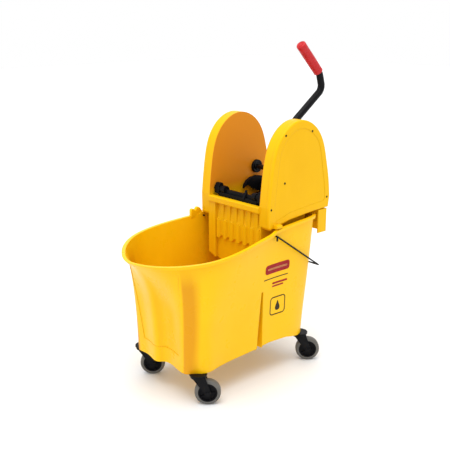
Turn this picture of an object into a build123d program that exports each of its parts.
from build123d import *
import math
import os

# Mop bucket on four swivel casters, with a lift-off down-press wringer. Millimetres, +Z up.
# X is across, and the side with the lever is +X. The spout end of the bucket points to -Y.
# The origin lies on the floor, midway between the front and rear caster pins.

# ---- bucket ----
floor_height = 95.0          # underside of the tub above the floor
wall = 4.0                   # moulded wall of the tub
lip_out = 7.0                # how far the rolled rim stands out from the wall
lip_height = 9.0
# The wall's outer face, at rising heights: spout tip, spout shoulder, the strip beside the front panel,
# the hollow flute of the front corner, flank, widest place, middle, beside the wringer, rear corner,
# rear end. Each place is (half-width, y).
tub_levels = [
    (95.0, -247, (74, -244), (116, -241), (126, -224), (141, -208),
     (143, -150), (143, 0), (143, 70), (143, 192), 226),
    (190.0, -250, (75, -247), (118, -244), (128, -228), (145, -211),
     (148, -150), (147, 0), (146, 70), (146, 196), 235),
    (290.0, -262, (77, -257), (121, -250), (133, -232), (151, -212),
     (159, -150), (154, 0), (151, 70), (150, 202), 246),
    (360.0, -290, (81, -276), (124, -258), (140, -237), (160, -208),
     (171, -150), (160, 0), (155, 70), (153, 206), 252),
    (420.0, -334, (89, -300), (125, -270), (148, -242), (170, -203),
     (181, -150), (166, 0), (158, 70), (155, 208), 258),
    (500.0, -395, (101, -342), (138, -290), (162, -252), (184, -202),
     (194, -150), (173, 0), (162, 70), (157, 210), 262),
]
corner_in = 11.0             # middle point of the rear corner's rounding, in from the flank
corner_share = 0.68          # and its share of the last stretch to the rear end
corner_flat = 48.0           # where the flat rear end starts, in from the flank
# Height of the rim along the bucket, from the spout to the rear, (y, z).
rim_line = [(-420, 412), (-340, 420), (-150, 441), (0, 457), (42, 461)]
rim_rear = [(66, 470), (128, 476), (190, 480), (330, 481)]
panel_outline = [(-82, 143), (82, 143), (118, 400), (-118, 400)]    # recessed front panel, (x, z)
panel_depth = 1.6
arch_line = [(-188, 95), (-100, 98), (0, 104), (60, 109), (130, 108), (188, 95)]    # raised underside, (y, z)
# Upright groove low on each side; inside the tub it stands proud as a baffle that stills the water.
groove_outline = [(15, 286), (22, 286), (31, 90), (7, 90)]          # (y, z)
groove_floor_x = 119.0
rim_cut = 560.0              # height of the blocks that trim the rim
past_sides = 260.0           # half-width of blocks that reach past both flanks
past_front = 420.0           # and how far such blocks reach to the front
panel_back = -200.0          # they end behind the spout's wall

# ---- casters ----
pin_x = 129.0
pin_y = 214.0
wheel_r = 38.0
core_r = 28.0
wheel_width = 24.0
trail = 27.0
trail_angle = 47.4           # parked direction of every caster, from +X towards +Y
axle_r = 4.0
fork_gap = 2.0               # between wheel and fork leg
leg_thickness = 3.5
swivel_pin_r = 6.0
plate_r = 26.0
plate_thickness = 4.0
pin_length = 10.0            # swivel pin below its plate
pin_head = 3.0               # its head stands out and down by this much
disc_gap = 2.2               # between the fixing plate and the fork's disc
disc_thickness = 5.0
screw_angles = (-75, 0, 75)
screw_circle = 17.0
screw_r = 2.2
screw_head = 1.6
running_clearance = 0.06

# ---- bail ----
wire_r = 2.5
bail_y = 58.0
bail_z = 454.0
bail_x = 171.0
bail_back = (262.0, 318.0)   # (y, z) of the crossbar at rest
bail_half = 158.0            # half-length of the crossbar
bail_pin_in = 151.5          # inner end of each hooked pin
bail_tail = 14.0             # turned-down end of the wire

# ---- wringer ----
tower_in = 110.0             # inner face of each side tower
tower_out = 150.0            # outer face
cover_depth = 12.0
shell = 3.0
field_depth = 0.9            # sunk field on each cover
foot_reach = 17.0            # feet on the covers rest on the rim
foot_z = 472.8
basket_half = 116.0
basket_front = 45.0
basket_rear = 240.0
basket_bottom = 325.0
basket_wall = 4.0
front_recess = 10.0          # depth of the basket's lower front wall behind its side pillars
lip_z = 531.0
lip_bottom = 513.0
slat_pitch = 29.5            # upright drain slats on the basket's front
slat_width = 21.0
slat_top = 462.0
slat_bottom = 401.0
slat_plane = 5.0             # depth of the wall between the slats
screw_spots = [(109, 741), (224, 743), (109, 601), (53, 530), (301, 530)]   # of a cover, (y, z)
cover_screw_r = 2.0
cover_head_r = 3.4
head_sink = 2.4              # depth of the sunk seat of each head
post_r = 6.0                 # moulded post around each screw
rear_screw_spots = [(-70, 390), (-70, 470), (70, 390), (70, 470)]       # of the fixed plate, (x, z)
rear_screw_r = 2.5
skirt_y = 302.0
skirt_bottom = 419.0
skirt_top = 493.0

# ---- lever and pressing plate ----
lever_axis = (246.0, 597.0)
press_axis = (70.0, 552.0)
shaft_r = 8.0
press_pin_r = 7.0
press_pin_in = 86.0          # inner end of each of its two pins
drive_teeth = 36             # teeth of the full circle of each toothed sector
press_teeth = 64
pressure_angle = math.radians(20)
tooth_backlash = 0.5
tooth_tip = 0.85             # height of a tooth beyond the pitch circle, in modules
tooth_root = 1.1             # depth of its gap, in modules
root_ease = 0.004            # angle by which a tooth's foot is widened
rim_depth = 14.0             # of a sector's toothed rim
spoke_width = 22.0
spoke_overlap = 6.0
gear_x = 120.0
gear_width = 8.0
lever_x = 94.0
end_disc_r = 21.5
end_disc_in = 99.0
end_disc_out = 109.5
lever_path = [(196, 762), (326, 856), (312, 903), (226, 989)]
tube_r = 11.0
grip_r = 15.0
grip_length = 118.0
clip_in = 2.0                # clip's middle from the end of its shaft
clip_half = 0.6              # half its thickness
clip_depth = 1.2             # depth of its groove

# ---- return spring ----
spring_x = 118.6             # where its strip starts, measured out to the left
spring_width = 10.0
spring_inner = 9.0
spring_strip = 1.2
spring_step = 1.7            # growth of the radius at each half turn
spring_halves = 8


def save(name, *solids):
    """Write one sub-part; several separate solids go into one file."""
    for solid in solids:
        if not solid.is_valid:
            print("not valid:", name)
    shape = solids[0] if len(solids) == 1 else Compound(children=list(solids))
    export_step(shape, "parts/" + name + ".step")


def as_solid(shape):
    """The one solid of a boolean result."""
    solids = shape.solids()
    if len(solids) != 1:
        print("expected one solid, got", len(solids))
    return solids.sort_by(SortBy.VOLUME)[-1]


def box(x0, x1, y0, y1, z0, z1):
    """A block between two corners."""
    middle = ((x0 + x1) / 2, (y0 + y1) / 2, (z0 + z1) / 2)
    return Pos(*middle) * Box(x1 - x0, y1 - y0, z1 - z0)


def rod_x(y, z, radius, x0, x1):
    """A cylinder along X."""
    return Pos((x0 + x1) / 2, y, z) * Rot(0, 90, 0) * Cylinder(radius, x1 - x0)


def side_plate(wire_or_points, x0, x1):
    """A profile given in (y, z), as an extrusion from x0 to x1."""
    if isinstance(wire_or_points, list):
        wire = Wire.make_polygon([(0, y, z) for y, z in wire_or_points], close=True)
    else:
        wire = wire_or_points
    return Pos(x0, 0, 0) * extrude(make_face(wire.edges()), x1 - x0, dir=(1, 0, 0))


def front_plate(points, y0, y1):
    """A profile given in (x, z), as a block from y0 to y1."""
    wire = Wire.make_polygon([(x, y0, z) for x, z in points], close=True)
    return extrude(make_face(wire.edges()), y1 - y0, dir=(0, 1, 0))


def mirrored(shape):
    """The same piece on the other side."""
    return mirror(shape, about=Plane.YZ)


# ---------------------------------------------------------------- bucket

def half_outline(level):
    """Right-hand points of the wall at one height, from the spout tip to the rear end."""
    tip, rear = level[1], level[-1]
    rear_x, rear_y = level[-2]
    points = [(0.0, tip)]
    points += [tuple(map(float, place)) for place in level[2:-1]]
    corner = (rear_x - corner_in, rear_y + corner_share * (rear - rear_y))
    points += [corner, (rear_x - corner_flat, rear), (0.0, rear)]
    return points


def inset(points, distance):
    """Outline points moved inwards, square to the outline."""
    count = len(points)
    moved = []
    for i, (x, y) in enumerate(points):
        before = points[i - 1] if i else (-points[1][0], points[1][1])
        after = points[i + 1] if i + 1 < count else (-points[-2][0], points[-2][1])
        dx, dy = after[0] - before[0], after[1] - before[1]
        size = math.hypot(dx, dy)
        moved.append((x - dy / size * distance, y + dx / size * distance))
    moved[0] = (0.0, moved[0][1])
    moved[-1] = (0.0, moved[-1][1])
    return moved


def tub_loft(distance, bottom):
    """The tub's outer form, inset by a distance, from the bottom height up."""
    sections = []
    for level in tub_levels:
        right = inset(half_outline(level), distance)
        left = [(-x, y) for x, y in reversed(right[1:-1])]
        height = bottom if level is tub_levels[0] else level[0]
        ring = Spline([(x, y, height) for x, y in right + left], periodic=True)
        sections.append(make_face(ring.edges()))
    return as_solid(loft(sections))


def rim_profile(drop, top):
    """Everything above the rim line, less a drop, up to a height, across the whole bucket."""
    front = Spline([(0, y, z - drop) for y, z in rim_line])
    rear = Spline([(0, y, z - drop) for y, z in rim_rear])
    step = Line(front @ 1, rear @ 0)
    y0, y1 = rim_line[0][0], rim_rear[-1][0]
    high_rear, high_front = (0, y1, top), (0, y0, top)
    sides = [Line(rear @ 1, high_rear), Line(high_rear, high_front), Line(high_front, front @ 0)]
    return side_plate(Wire([front, step, rear] + sides), -past_sides, past_sides)


def arch_below(lift):
    """Everything below the raised underside, lifted by a distance, across the whole bucket."""
    (y0, _), (y1, _) = arch_line[0], arch_line[-1]
    outline = [(y, z + lift) for y, z in arch_line] + [(y1, 0), (y0, 0)]
    return side_plate(outline, -past_sides, past_sides)


def groove_around(thickness):
    """The groove's outline with its moulded wall around it."""
    (front_y, top), (rear_y, _), (low_rear_y, low), (low_front_y, _) = groove_outline
    return [(front_y - thickness, top + thickness), (rear_y + thickness, top + thickness),
            (low_rear_y + thickness, low), (low_front_y - thickness, low)]


def make_tub():
    """The moulded tub: walls, sloping rim with a rolled lip, recessed front panel, raised underside."""
    outer = tub_loft(0, floor_height)
    inner = tub_loft(wall, floor_height + wall)
    body = outer - inner
    lip_ring = tub_loft(-lip_out, floor_height) - inner
    band = rim_profile(lip_height, rim_cut) - rim_profile(0, rim_cut + 1)
    body = body - rim_profile(0, rim_cut)
    body = body + (lip_ring & band)
    skin = outer - tub_loft(panel_depth, floor_height)
    body = body - (skin & front_plate(panel_outline, -past_front, panel_back))
    body = body + (outer & arch_below(wall)) - arch_below(0)
    for side in (-1, 1):
        hole_ends = sorted((side * 140, side * 185))
        body = body - rod_x(bail_y, bail_z, wire_r + running_clearance, *hole_ends)
        baffle_ends = sorted((side * (groove_floor_x - wall), side * past_sides))
        groove_ends = sorted((side * groove_floor_x, side * past_sides))
        baffle = side_plate(groove_around(wall), *baffle_ends) & inner
        body = body + baffle - side_plate(groove_outline, *groove_ends)
    return as_solid(body)


def make_bail():
    """The bent wire handle, hooked through the tub's walls and lying against its back."""
    back_y, back_z = bail_back
    pieces = []
    for side in (-1, 1):
        corner = Vector(side * bail_half, back_y, back_z)
        top = Vector(side * bail_x, bail_y, bail_z)
        along = (corner - top).normalized()
        arm = Solid.make_cylinder(wire_r, (corner - top).length, Plane(origin=top, z_dir=along))
        pin = rod_x(bail_y, bail_z, wire_r, *sorted((side * bail_pin_in, side * bail_x)))
        tail = Pos(side * bail_x, bail_y, bail_z - bail_tail / 2) * Cylinder(wire_r, bail_tail)
        pieces += [arm, pin, tail, Pos(*top) * Sphere(wire_r), Pos(*corner) * Sphere(wire_r)]
    body = rod_x(back_y, back_z, wire_r, -bail_half, bail_half)
    for piece in pieces:
        body = body + piece
    return as_solid(body)


# ---------------------------------------------------------------- casters

def caster_place(side_x, side_y):
    """The caster's own frame on the floor under its pin, with x along the trail."""
    return Pos(side_x * pin_x, side_y * pin_y, 0) * Rot(0, 0, trail_angle)


def plate_place(side_x, side_y):
    """The fixing plate's frame under its corner, with x towards the middle of the bucket."""
    inward = math.degrees(math.atan2(-side_y, -side_x))
    return Pos(side_x * pin_x, side_y * pin_y, 0) * Rot(0, 0, inward)


def make_caster_plate():
    """Round fixing plate with the swivel pin riveted below it."""
    top = floor_height
    disc = Pos(0, 0, top - plate_thickness / 2) * Cylinder(plate_r, plate_thickness)
    pin_top = top - plate_thickness
    pin = Pos(0, 0, pin_top - pin_length / 2) * Cylinder(swivel_pin_r, pin_length)
    head = Pos(0, 0, pin_top - pin_length) * Cylinder(swivel_pin_r + pin_head, pin_head)
    body = disc + pin + head
    for angle in screw_angles:
        body = body - Rot(0, 0, angle) * Pos(screw_circle, 0, top) * Cylinder(screw_r, 3 * plate_thickness)
    return as_solid(body)


def make_caster_screws():
    """Flat-headed screws that hold the plates to the tub."""
    head = Pos(0, 0, floor_height - plate_thickness - screw_head / 2) * Cylinder(1.7 * screw_r, screw_head)
    shank = Pos(0, 0, floor_height - plate_thickness / 2) * Cylinder(screw_r, plate_thickness)
    spots = [(x, y, angle) for x in (-1, 1) for y in (-1, 1) for angle in screw_angles]
    screws = []
    for side_x, side_y, angle in spots:
        spot = plate_place(side_x, side_y) * Rot(0, 0, angle) * Pos(screw_circle, 0, 0)
        screws.append(as_solid(spot * (head + shank)))
    return screws


def make_fork():
    """Top disc with two legs that carry the axle."""
    disc_top = floor_height - plate_thickness - disc_gap
    body = Pos(0, 0, disc_top - disc_thickness / 2) * Cylinder(plate_r - 3, disc_thickness)
    leg_y = wheel_width / 2 + fork_gap
    leg = [(-18, disc_top - 0.5), (20, disc_top - 0.5), (trail + 10, 40), (trail + 5, 29),
           (trail - 5, 29), (trail - 11, 42)]
    for side in (-1, 1):
        y0, y1 = sorted((side * leg_y, side * (leg_y + leg_thickness)))
        body = body + front_plate(leg, y0, y1)
    body = body - Pos(0, 0, disc_top) * Cylinder(swivel_pin_r + running_clearance, 30)
    bore = Pos(trail, 0, wheel_r) * Rot(90, 0, 0) * Cylinder(axle_r, 60)
    return as_solid(body - bore)


def make_axle():
    """Headed axle pin across the fork."""
    half = wheel_width / 2 + fork_gap + leg_thickness
    pin = Rot(90, 0, 0) * Cylinder(axle_r, 2 * half)
    for side in (-1, 1):
        pin = pin + Pos(0, side * (half + 1), 0) * Rot(90, 0, 0) * Cylinder(axle_r + 2.5, 2)
    return as_solid(Pos(trail, 0, wheel_r) * pin)


def make_core():
    """Wheel centre: rim, web with round pockets, and hub with its bore."""
    hub_half = wheel_width / 2 + fork_gap - 0.5
    hub = Cylinder(9, 2 * hub_half) + Cylinder(core_r, wheel_width)
    for side in (-1, 1):
        dish = Cylinder(core_r - 4, 8) - Cylinder(9, 8)
        hub = hub - Pos(0, 0, side * wheel_width / 2) * dish
        for i in range(5):
            rib = Rot(0, 0, 72 * i) * Pos(16, 0, side * (wheel_width / 2 - 2.5)) * Box(16, 3, 4)
            hub = hub + rib
    hub = hub - Cylinder(axle_r + running_clearance, 60)
    return as_solid(Pos(trail, 0, wheel_r) * Rot(90, 0, 0) * hub)


def make_tyre():
    """Soft tread ring with rounded shoulders."""
    ring = Cylinder(wheel_r, wheel_width) - Cylinder(core_r, wheel_width)
    outer_edges = ring.edges().filter_by(GeomType.CIRCLE).filter_by(lambda e: e.radius > wheel_r - 1)
    ring = fillet(outer_edges, 5)
    return as_solid(Pos(trail, 0, wheel_r) * Rot(90, 0, 0) * ring)


# ---------------------------------------------------------------- wringer

def tower_wire(distance):
    """The arched side of the wringer in (y, z), inset by a distance."""
    d = distance
    front = (44 + d, 534)
    dome = [front, (58 + d, 650), (73 + d, 705), (110 + 0.6 * d, 755 - 0.8 * d), (178, 780 - d),
            (240 - 0.6 * d, 757 - 0.8 * d), (277 - d, 710), (298 - d, 640), (316 - d, 531)]
    arch = Spline([(0, y, z) for y, z in dome], tangents=[(0, 0.1, 1), (0, 0.08, -1)])
    low_rear = (0, 311 - d, 496 + d)
    under = [low_rear, (0, 242, 494 + d), (0, 134, 485 + d), (0, 50 + d, 468 + d), (0, 45 + d, 475 + d)]
    edges = [arch, Line(arch @ 1, low_rear)]
    edges += [Line(under[i], under[i + 1]) for i in range(len(under) - 1)]
    edges.append(Line(under[-1], arch @ 0))
    return Wire(edges)


def make_cover():
    """Right-hand tower cover: a shallow cap with a rounded edge and a sunk field."""
    inner_x = tower_out - cover_depth
    cap = side_plate(tower_wire(0), inner_x, tower_out)
    rim_edges = cap.faces().sort_by(Axis.X)[-1].edges()
    cap = fillet(rim_edges, 5)
    cap = cap - side_plate(tower_wire(shell), inner_x, tower_out - shell)
    cap = cap - side_plate(tower_wire(24), tower_out - field_depth, tower_out)
    foot = box(tower_out - shell, tower_out + foot_reach, 62, 84, foot_z, foot_z + 11)
    foot = fillet(foot.edges().filter_by(Axis.Y).sort_by(Axis.X)[-2:], 4)
    cap = cap + foot
    for y, z in screw_spots:
        cap = cap + rod_x(y, z, post_r, inner_x, tower_out - shell)
        cap = cap - rod_x(y, z, cover_screw_r, inner_x, tower_out)
        cap = cap - rod_x(y, z, cover_head_r + 0.2, tower_out - head_sink, tower_out)
    return as_solid(cap)


def make_cover_screws(side):
    """Pan-head screws through one cover into the tower's posts."""
    screws = []
    for y, z in screw_spots:
        head = rod_x(y, z, cover_head_r, tower_out - head_sink, tower_out - 0.4)
        shank = rod_x(y, z, cover_screw_r, tower_out - cover_depth - 10, tower_out - head_sink)
        screw = head + shank - rod_x(y, z, 0.9, tower_out - 1.6, tower_out)
        screws.append(as_solid(screw if side > 0 else mirrored(screw)))
    return screws


def tower_shell():
    """Right-hand tower without its cover: inner face, edge wall, screw posts and bearings."""
    edge_x = tower_out - cover_depth
    cavity_side = tower_in + shell
    body = side_plate(tower_wire(0), tower_in, edge_x) - side_plate(tower_wire(shell), cavity_side, edge_x)
    for y, z in screw_spots:
        body = body + rod_x(y, z, post_r, cavity_side - 1, edge_x)
    for (y, z), radius in ((lever_axis, shaft_r), (press_axis, press_pin_r)):
        body = body + rod_x(y, z, radius + 6, tower_in, tower_in + 8)
    for y, z in screw_spots:
        body = body - rod_x(y, z, cover_screw_r, edge_x - 11, edge_x)
    return body


def basket_section(thickness):
    """The basket's cross-section in (x, z), with its lower corners cut, inset by a thickness."""
    half, low, t = basket_half - thickness, basket_bottom + thickness, thickness / 4
    return [(-half, 500 + 25 * thickness), (-half, low + 22 - 3 * t), (-half + 50 - 3 * t, low),
            (half - 50 + 3 * t, low), (half, low + 22 - 3 * t), (half, 500 + 25 * thickness)]


def slat(x):
    """One drain slat: a rounded bar, hooded at its top, standing on the recessed front wall."""
    half = slat_width / 2
    back = basket_front + front_recess + 1
    points = [(x - half, slat_top - 6), (x - half, slat_bottom + 6), (x - half + 5, slat_bottom),
              (x + half - 5, slat_bottom), (x + half, slat_bottom + 6), (x + half, slat_top - 6),
              (x + half - 6, slat_top), (x - half + 6, slat_top)]
    bar = front_plate(points, basket_front, back)
    bulge = Pos(x, basket_front + half - 1, (slat_top + slat_bottom) / 2) * Cylinder(half, 80)
    return bar & (bulge + box(x - half, x + half, basket_front + half - 1, back, slat_bottom, slat_top))


def basket_front_detail(body):
    """Recessed lower wall, drain pockets under the lip, and the slats below them."""
    left, right = -basket_half + 32, basket_half - 4
    deep, plane = basket_front + front_recess, basket_front + slat_plane
    body = body - box(left, right, basket_front, deep, basket_bottom - 1, slat_bottom + 8)
    body = body - box(left, right, basket_front, plane, slat_bottom + 8, lip_bottom)
    for i in range(7):
        x = (i - 2.5) * slat_pitch
        width = slat_width if i < 6 else 14.0
        pocket = side_plate([(plane - 1, slat_top), (deep - 4, slat_top), (deep, lip_bottom - 3),
                             (plane - 1, lip_bottom - 3)], x - width / 3, x + width / 3)
        body = body - pocket + slat(min(x, right - slat_width / 2))
    return body


def basket():
    """The open basket that hangs in the bucket, with its slatted front and drain holes."""
    body = front_plate(basket_section(0), basket_front, basket_rear)
    body = body + box(-tower_in - 1, tower_in + 1, basket_front, basket_rear, 495, lip_z)
    inner_front = basket_front + front_recess + basket_wall
    body = body - front_plate(basket_section(basket_wall), inner_front, basket_rear - basket_wall)
    body = body - box(-tower_in, tower_in, basket_rear - basket_wall - 1, basket_rear + 1, 500, lip_z + 1)
    body = basket_front_detail(body)
    for row in range(4):
        for column in range(5):
            floor_hole = Pos(-52 + 26 * column, 84 + 36 * row, basket_bottom + 2) * Cylinder(5, 12)
            body = body - floor_hole
    return body


def make_wringer_body():
    """Basket, both tower shells, front lip, rear deck and the skirt that hooks over the bucket."""
    right = tower_shell()
    body = basket() + right + mirrored(right)
    lip = box(-tower_in - 1, tower_in + 1, basket_front - 6, basket_front + 7, lip_bottom, lip_z + 1)
    lip = fillet(lip.edges().filter_by(Axis.X), 3)
    body = body + lip
    deck = box(-tower_in - 1, tower_in + 1, basket_rear - 4, skirt_y, 496, 500)
    edge_x = tower_out - cover_depth
    back = box(-tower_out, tower_out, skirt_y - 4, skirt_y, skirt_bottom, skirt_top)
    back = back + box(-edge_x, edge_x, skirt_y - 4, skirt_y, skirt_top, 500)
    guard = box(-tower_in - 1, tower_in + 1, skirt_y - 4, skirt_y, 498, 540)
    body = body + deck + back + guard
    for side in (-1, 1):
        x0, x1 = sorted((side * (tower_out - 4), side * tower_out))
        body = body + box(x0, x1, 264, skirt_y, skirt_bottom, skirt_top)
        for (y, z), radius in ((lever_axis, shaft_r), (press_axis, press_pin_r)):
            x0, x1 = sorted((side * 100, side * 122))
            body = body - rod_x(y, z, radius + running_clearance, x0, x1)
    return as_solid(body)


# ---------------------------------------------------------------- lever and pressing plate

def involute_tooth(radius, teeth, gap):
    """Half of one tooth as (distance, angle) pairs, from the root to the tip."""
    module = 2 * radius / teeth
    base = radius * math.cos(pressure_angle)
    half_pitch = math.pi / (2 * teeth) - gap / (2 * radius)
    at_pitch = math.tan(pressure_angle) - pressure_angle
    pairs = []
    tip = radius + tooth_tip * module
    root = radius - tooth_root * module
    for i in range(6):
        r = max(base, root) + (tip - max(base, root)) * i / 5
        roll = math.acos(min(1, base / r))
        pairs.append((r, half_pitch + at_pitch - (math.tan(roll) - roll)))
    return root, pairs


def sector_gear(centre, radius, teeth, first, last, aim):
    """Toothed sector in the (y, z) plane: whole teeth from first to last about the aim angle."""
    root, pairs = involute_tooth(radius, teeth, tooth_backlash)
    pitch = 2 * math.pi / teeth
    outline = []
    for i in range(first, last + 1):
        middle = aim + i * pitch
        outline.append((root, middle - pitch / 2))
        outline.append((root, middle - pairs[0][1] - root_ease))
        outline += [(r, middle - a) for r, a in pairs]
        outline += [(r, middle + a) for r, a in reversed(pairs)]
        outline.append((root, middle + pairs[0][1] + root_ease))
    outline.append((root, aim + last * pitch + pitch / 2))
    inner = root - rim_depth
    start, end = aim + (first - 0.5) * pitch, aim + (last + 0.5) * pitch
    steps = 8
    outline += [(inner, end + (start - end) * i / steps) for i in range(steps + 1)]
    cy, cz = centre
    points = [(cy + r * math.cos(a), cz + r * math.sin(a)) for r, a in outline]
    ring = side_plate(points, gear_x, gear_x + gear_width)
    middle = (start + end) / 2
    spoke = Pos(0, (inner + spoke_overlap) / 2, 0) * Box(gear_width, inner + spoke_overlap, spoke_width)
    spoke = Pos(gear_x + gear_width / 2, cy, cz) * Rot(math.degrees(middle), 0, 0) * spoke
    return ring + spoke


def make_gears():
    """The sector on the lever's shaft and the one that it turns on the pressing plate's pin."""
    module = math.dist(lever_axis, press_axis) / (drive_teeth + press_teeth)
    drive_radius, press_radius = module * drive_teeth, module * press_teeth
    to_lever = math.atan2(lever_axis[1] - press_axis[1], lever_axis[0] - press_axis[0])
    hub = rod_x(*lever_axis, shaft_r + 8, gear_x, gear_x + gear_width)
    drive = sector_gear(lever_axis, drive_radius, drive_teeth, 0, 7, to_lever + math.pi) + hub
    drive = drive - rod_x(*lever_axis, shaft_r, gear_x - 1, gear_x + 20)
    hub = rod_x(*press_axis, press_pin_r + 7, gear_x, gear_x + gear_width)
    half_tooth = math.pi / press_teeth
    press = sector_gear(press_axis, press_radius, press_teeth, -7, 0, to_lever - half_tooth) + hub
    press = press - rod_x(*press_axis, press_pin_r, gear_x - 1, gear_x + 20)
    return as_solid(drive), as_solid(press)


def pin_with_groove(axis, radius, x0, x1):
    """A shaft along X with a clip groove near each end."""
    body = rod_x(*axis, radius, x0, x1)
    for x in (x0 + clip_in, x1 - clip_in):
        body = body - clip(axis, radius, x)
    return as_solid(body)


def clip(axis, radius, x):
    """Retaining ring that sits in a shaft's groove."""
    x0, x1 = x - clip_half, x + clip_half
    return as_solid(rod_x(*axis, radius + 4, x0, x1) - rod_x(*axis, radius - clip_depth, x0, x1))


def make_end_disc():
    """Disc on the shaft's left end, beside the tower."""
    disc = rod_x(*lever_axis, end_disc_r, -end_disc_out, -end_disc_in)
    return as_solid(disc - rod_x(*lever_axis, shaft_r, -end_disc_out - 1, -end_disc_in + 1))


def lever_plane_point(y, z):
    """A point in the lever's upright plane."""
    return Vector(lever_x, y, z)


def make_lever():
    """Bent tube from the shaft's socket to the grip, and the grip sleeve around its end."""
    pivot = lever_plane_point(*lever_axis)
    points = [lever_plane_point(y, z) for y, z in lever_path]
    away = (points[0] - pivot).normalized()
    start = pivot + away * (shaft_r + 12)
    path = FilletPolyline(start, *points, radius=(30, 26, 26))
    profile = Plane(origin=start, z_dir=away) * Circle(tube_r)
    tube = sweep(profile, path=path)
    sleeve_length = shaft_r + 12 + 42
    sleeve = Solid.make_cylinder(tube_r + 3, sleeve_length, Plane(origin=pivot, z_dir=away))
    socket = rod_x(*lever_axis, shaft_r + 13, lever_x - 12, lever_x + 10) + sleeve
    socket = socket - Solid.make_cylinder(tube_r, 60, Plane(origin=start, z_dir=away))
    socket = socket - rod_x(*lever_axis, shaft_r, lever_x - 20, lever_x + 20)
    tip = points[-1]
    back = (points[-2] - tip).normalized()
    grip_start = tip - back * 5
    grip = Solid.make_cylinder(grip_r, grip_length, Plane(origin=grip_start, z_dir=back))
    ends = grip.edges().filter_by(GeomType.CIRCLE)
    grip = fillet(ends, 4)
    grip = grip - Solid.make_cylinder(tube_r, grip_length + 5, Plane(origin=tip, z_dir=back))
    return as_solid(socket), as_solid(tube), as_solid(grip)


def make_press_plate():
    """The swinging plate: a ribbed panel under a stepped bar, with lugs and collars on the side pins."""
    y, z = press_axis
    panel = box(-98, 98, y - 8, y - 2, 352, z - 40)
    neck = [(-104, z - 10), (-84, z - 32), (-98, z - 41), (98, z - 41), (84, z - 32), (104, z - 10),
            (104, z - 4), (84, z + 2), (-84, z + 2), (-104, z - 4)]
    body = panel + front_plate(neck, y - 4, y + 4)
    body = body + box(-82, 82, y - 10, y - 3, z - 41, z - 9)
    for i in range(7):
        x = -84 + 28 * i
        body = body + box(x - 2, x + 2, y - 3, y + 4, 360, z - 40)
    for side in (-1, 1):
        x0, x1 = sorted((side * 60, side * 105))
        body = body + rod_x(y, z, press_pin_r + 2, x0, x1)
        x0, x1 = sorted((side * 60, side * 75))
        body = body + rod_x(y, z, press_pin_r + 5, x0, x1)
        lug = [(y - 10, z - 14), (y - 10, z + 8), (y - 3, z + 18),
               (y + 6, z + 18), (y + 10, z + 6), (y + 10, z - 14)]
        x0, x1 = sorted((side * 84, side * 104))
        body = body + side_plate(lug, x0, x1)
    body = body + side_plate([(y - 14, z - 12), (y + 1, z + 14), (y + 4, z - 12)], 23, 31)
    for side in (-1, 1):
        x0, x1 = sorted((side * 80, side * 110))
        body = body - rod_x(y, z, press_pin_r, x0, x1)
    return as_solid(body)


def make_rear_plate():
    """The fixed plate that the mop is pressed against, hooked over the basket's back, with domed cheeks."""
    cheek = [(180, 534), (184, 546), (194, 557), (210, 565), (236, 568), (258, 565), (272, 556), (275, 540),
             (274, 504), (264, 504), (257, 515), (241, 519), (224, 525), (211, 536), (202, 543), (190, 541)]
    body = box(-104, 104, 229, 236, 352, 508)
    for i in range(6):
        x = -80 + 32 * i
        body = body + box(x - 2, x + 2, 224, 230, 360, 500)
    for side in (-1, 1):
        x0, x1 = sorted((side * 94, side * 104))
        body = body + side_plate(cheek, x0, x1)
    body = body + box(-104, 104, 229, 274, 501, 508) + box(-104, 104, 268, 274, 501, 548)
    for x, z in rear_screw_spots:
        body = body - Pos(x, 232, z) * Rot(90, 0, 0) * Cylinder(rear_screw_r, 20)
    return as_solid(body)


def make_rear_screws():
    """Screws that clamp the fixed plate to the basket's back wall."""
    screws = []
    for x, z in rear_screw_spots:
        head = Pos(x, 227.5, z) * Rot(90, 0, 0) * Cylinder(2 * rear_screw_r, 3)
        shank = Pos(x, 232.5, z) * Rot(90, 0, 0) * Cylinder(rear_screw_r, 7)
        screws.append(as_solid(head + shank))
    return screws


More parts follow.
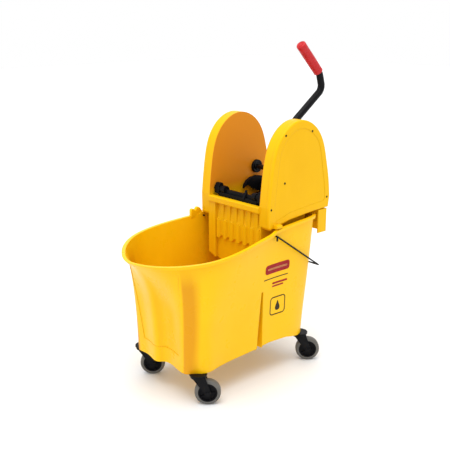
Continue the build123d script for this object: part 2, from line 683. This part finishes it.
def make_spring():
    """Spiral return spring around the shaft inside the left tower, wound from half rings."""
    x0, x1 = -spring_x - spring_width, -spring_x
    body = None
    for i in range(spring_halves):
        radius = spring_inner + i * spring_step
        centre_y = lever_axis[0] + (spring_step if i % 2 else 0)
        centre = (centre_y, lever_axis[1])
        ring = rod_x(*centre, radius + spring_strip, x0, x1) - rod_x(*centre, radius, x0 - 1, x1 + 1)
        reach = radius + 2 * spring_strip
        z0 = lever_axis[1] - (reach if i % 2 else 0)
        half = ring & box(x0 - 1, x1 + 1, centre_y - reach, centre_y + reach, z0, z0 + reach)
        body = half if body is None else body + half
    return as_solid(body)


def main():
    os.makedirs("parts", exist_ok=True)
    save("bucket_tub", make_tub())
    save("bail_handle", make_bail())

    corners = {"front_right": (1, -1), "front_left": (-1, -1), "rear_right": (1, 1), "rear_left": (-1, 1)}
    plate, fork, axle, core, tyre = make_caster_plate(), make_fork(), make_axle(), make_core(), make_tyre()
    pieces = {"caster_plate": plate, "caster_fork": fork, "caster_axle": axle,
              "wheel_core": core, "wheel_tyre": tyre}
    for corner, sides in corners.items():
        for name, piece in pieces.items():
            place = plate_place(*sides) if name == "caster_plate" else caster_place(*sides)
            save(name + "_" + corner, as_solid(place * piece))
    save("caster_screws", *make_caster_screws())

    save("wringer_body", make_wringer_body())
    cover = make_cover()
    save("tower_cover_right", cover)
    save("tower_cover_left", as_solid(mirrored(cover)))
    save("cover_screws_right", *make_cover_screws(1))
    save("cover_screws_left", *make_cover_screws(-1))
    save("rear_press_plate", make_rear_plate())
    save("rear_plate_screws", *make_rear_screws())
    save("return_spring", make_spring())

    drive, press = make_gears()
    shaft_end = gear_x + gear_width + 4
    save("lever_shaft", pin_with_groove(lever_axis, shaft_r, -shaft_end, shaft_end))
    clip_x = shaft_end - clip_in
    save("lever_clips", clip(lever_axis, shaft_r, -clip_x), clip(lever_axis, shaft_r, clip_x))
    save("lever_end_disc", make_end_disc())
    socket, tube, grip = make_lever()
    save("lever_socket", socket)
    save("lever_tube", tube)
    save("lever_grip", grip)
    save("drive_gear", drive)

    save("press_gear", press)
    save("press_plate", make_press_plate())
    right_pin = pin_with_groove(press_axis, press_pin_r, press_pin_in, shaft_end)
    left_pin = pin_with_groove(press_axis, press_pin_r, -shaft_end, -press_pin_in)
    save("press_pins", right_pin, left_pin)
    save("press_clips", clip(press_axis, press_pin_r, -clip_x), clip(press_axis, press_pin_r, clip_x))


main()
